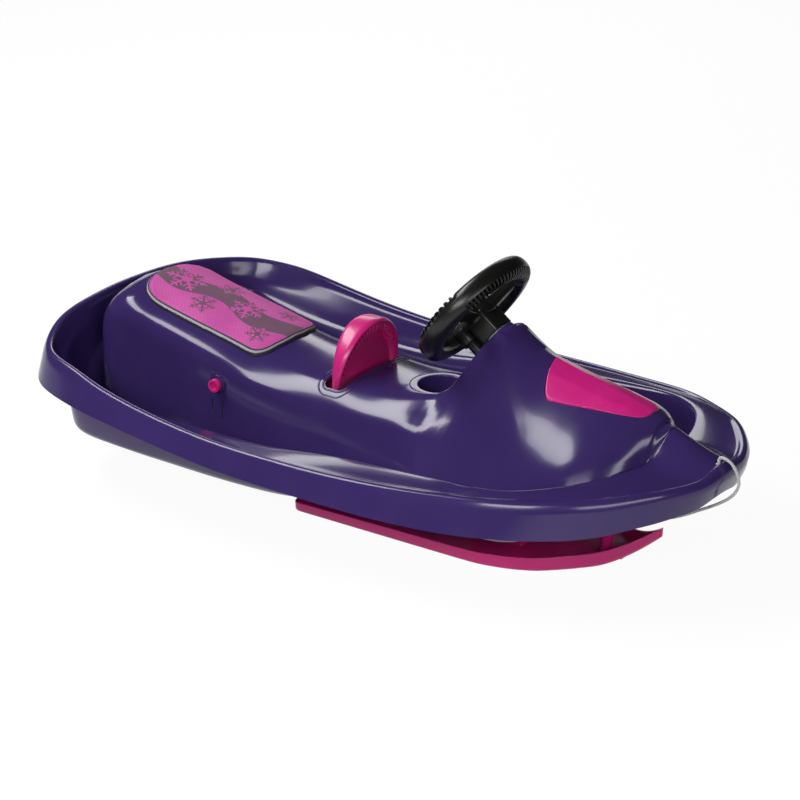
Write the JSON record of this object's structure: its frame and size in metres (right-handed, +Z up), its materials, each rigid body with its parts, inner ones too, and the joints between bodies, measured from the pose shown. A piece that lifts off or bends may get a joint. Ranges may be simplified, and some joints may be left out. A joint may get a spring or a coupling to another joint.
{
  "type": "steering sled",
  "caption": "Child's steering sled: moulded hull with padded seat spine and leg wells, steering wheel, steered front ski, hand brake, cup holder and pull cord.",
  "frame": {"origin": "on the ground under the middle of the hull, on the underside of the front ski", "axes": "+X forward to the nose, +Y to the rider's left, +Z up"},
  "size_m": [1.0486, 0.575, 0.3801],
  "materials": {
    "hull_purple": "glossy moulded polyethylene, deep purple",
    "ski_pink": "satin pink moulded plastic",
    "panel_pink": "glossy pink moulded plastic",
    "pad_foam": "soft printed foam",
    "wheel_black": "fine-grained black plastic",
    "cap_black": "black plastic",
    "zinc_steel": "zinc-plated",
    "bush_nylon": "natural nylon",
    "cord_grey": "braided cord"
  },
  "bodies": {
    "hull_body": {"hull": "hull_purple", "seat_pad": "pad_foam", "hood_panel": "panel_pink", "shaft_bush": "bush_nylon", "kingpin_bush_lower": "bush_nylon", "kingpin_bush_upper": "bush_nylon", "brake_pin_left": "ski_pink", "brake_pin_right": "ski_pink", "pull_cord": "cord_grey", "cord_knot": "cord_grey"},
    "steering_body": {"steering_wheel": "wheel_black", "wheel_cap": "cap_black", "steering_shaft": "zinc_steel", "crank_rod": "wheel_black", "shaft_washer": "zinc_steel", "shaft_clip": "zinc_steel"},
    "ski_body": {"front_ski": "ski_pink", "steering_mast": "zinc_steel", "mast_screw_front": "zinc_steel", "mast_screw_rear": "zinc_steel", "kingpin": "zinc_steel", "kingpin_washer": "zinc_steel", "kingpin_nut": "zinc_steel"},
    "brake_body": {"brake_lever": "ski_pink", "brake_claw_left": "zinc_steel", "brake_claw_right": "zinc_steel"}
  },
  "joints": [
    {"name": "wheel_turn", "type": "hinge", "parent": "hull_body", "child": "steering_body", "pos_m": [0.1184, 0, 0.3019], "axis": [-0.809, 0, 0.5878], "range_deg": [-30, 30]},
    {"name": "ski_turn", "type": "hinge", "parent": "hull_body", "child": "ski_body", "pos_m": [0.331, 0, 0.05], "axis": [0, 0, 1], "range_deg": [-8.6, 8.6]},
    {"name": "brake_pull", "type": "hinge", "parent": "hull_body", "child": "brake_body", "pos_m": [-0.24, 0, 0.1435], "axis": [0, -1, 0], "range_deg": [0, 14]}
  ],
  "couplings": [
    {"joint": "ski_turn", "follows": "wheel_turn", "ratio": 0.284}
  ]
}
